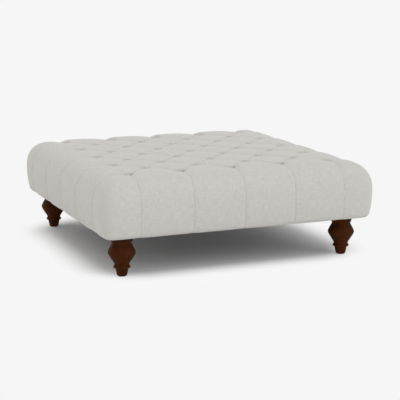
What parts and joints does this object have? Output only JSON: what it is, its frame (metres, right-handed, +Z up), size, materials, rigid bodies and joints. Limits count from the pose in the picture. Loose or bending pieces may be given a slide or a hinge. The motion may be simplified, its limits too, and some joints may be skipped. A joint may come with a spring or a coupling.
{
  "type": "footstool",
  "caption": "Square deep-buttoned footstool in pale linen, pleated sides, on turned dark wood legs.",
  "frame": {"origin": "on the floor under the centre of the footstool", "axes": "+X to the right along the front, +Y to the back, +Z up"},
  "size_m": [1, 1, 0.337],
  "materials": {
    "leg_wood": "satin",
    "glide_plastic": "matte",
    "frame_wood": "matte",
    "plywood": "matte",
    "dowel_wood": "matte",
    "zinc_steel": "satin",
    "foam": "matte",
    "wadding_fibre": "matte",
    "linen_cover": "matte",
    "linen_buttons": "matte",
    "twine": "matte",
    "washer_plastic": "matte",
    "dust_cloth": "matte"
  },
  "bodies": {
    "root": {"leg_front_left": "leg_wood", "glide_front_left": "glide_plastic", "corner_block_front_left": "frame_wood", "leg_front_right": "leg_wood", "glide_front_right": "glide_plastic", "corner_block_front_right": "frame_wood", "leg_back_left": "leg_wood", "glide_back_left": "glide_plastic", "corner_block_back_left": "frame_wood", "leg_back_right": "leg_wood", "glide_back_right": "glide_plastic", "corner_block_back_right": "frame_wood", "rail_front": "frame_wood", "rail_back": "frame_wood", "rail_left": "frame_wood", "rail_right": "frame_wood", "cross_rail_left": "frame_wood", "cross_rail_right": "frame_wood", "deck_board": "plywood", "rail_dowels": "dowel_wood", "hanger_bolts": "zinc_steel", "tee_nuts": "zinc_steel", "frame_screws": "zinc_steel", "deck_screws": "zinc_steel", "staples": "zinc_steel", "foam_core": "foam", "side_foam_front": "foam", "side_foam_back": "foam", "side_foam_left": "foam", "side_foam_right": "foam", "wadding": "wadding_fibre", "cover": "linen_cover", "tuft_buttons": "linen_buttons", "tuft_twines": "twine", "tie_washers": "washer_plastic", "dust_cover": "dust_cloth"}
  },
  "joints": []
}
